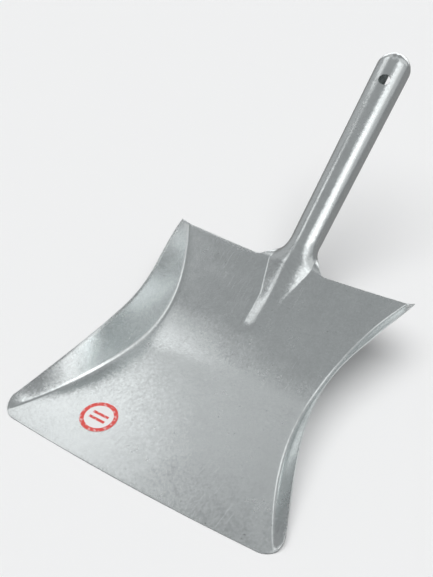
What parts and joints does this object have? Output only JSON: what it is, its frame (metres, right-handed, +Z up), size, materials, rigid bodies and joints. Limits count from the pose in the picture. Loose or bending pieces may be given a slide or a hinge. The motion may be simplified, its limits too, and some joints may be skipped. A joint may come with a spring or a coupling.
{
  "type": "hand scoop",
  "caption": "Pressed steel hand scoop: flat floor that curls up into a low back wall, folded side flanges and a rolled tubular handle with a hanging hole.",
  "frame": {"origin": "under the middle of the whole scoop, on the plane that the flat floor rests on", "axes": "+Z up, -Y towards the open front edge, +Y towards the end of the handle, X across the pan"},
  "size_m": [0.2178, 0.3994, 0.147],
  "materials": {
    "galvanised_steel": "satin",
    "label_paper": "satin"
  },
  "bodies": {
    "root": {"scoop_body": "galvanised_steel", "round_label": "label_paper"}
  },
  "joints": []
}
